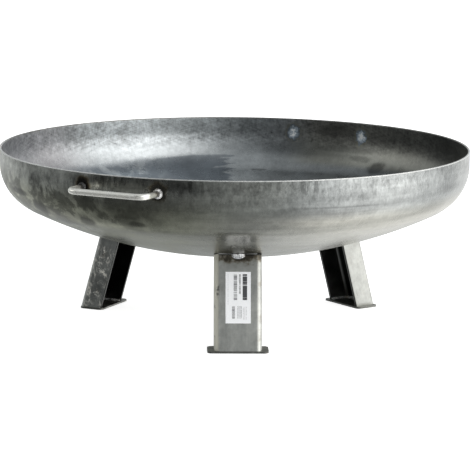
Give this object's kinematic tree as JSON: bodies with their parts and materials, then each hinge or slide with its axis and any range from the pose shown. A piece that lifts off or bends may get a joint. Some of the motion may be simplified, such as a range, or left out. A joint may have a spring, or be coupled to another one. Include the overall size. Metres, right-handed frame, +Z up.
{
  "type": "fire bowl forge hearth",
  "caption": "Shallow round dished steel fire bowl hearth standing on short outward-leaning channel legs with foot plates, with bent bar carrying handles welded to its sides.",
  "frame": {"origin": "on the floor, under the middle of the bowl", "axes": "+Z up; -Y towards the front, where the labelled leg stands; +X to the right seen from the front"},
  "size_m": [0.8, 0.8465, 0.3],
  "materials": {
    "bowl_steel": "satin",
    "leg_steel": "satin",
    "foot_steel": "satin",
    "handle_steel": "satin",
    "weld_metal": "satin",
    "label_paper": "matte"
  },
  "bodies": {
    "root": {"bowl": "bowl_steel", "product_label": "label_paper", "front_leg": "leg_steel", "front_foot_plate": "foot_steel", "front_foot_weld": "weld_metal", "front_leg_web_weld": "weld_metal", "front_leg_flange_welds": "weld_metal", "rear_left_leg": "leg_steel", "rear_left_foot_plate": "foot_steel", "rear_left_foot_weld": "weld_metal", "rear_left_leg_web_weld": "weld_metal", "rear_left_leg_flange_welds": "weld_metal", "rear_right_leg": "leg_steel", "rear_right_foot_plate": "foot_steel", "rear_right_foot_weld": "weld_metal", "rear_right_leg_web_weld": "weld_metal", "rear_right_leg_flange_welds": "weld_metal", "front_handle": "handle_steel", "front_handle_left_weld": "weld_metal", "front_handle_right_weld": "weld_metal", "rear_handle": "handle_steel", "rear_handle_left_weld": "weld_metal", "rear_handle_right_weld": "weld_metal"}
  },
  "joints": []
}
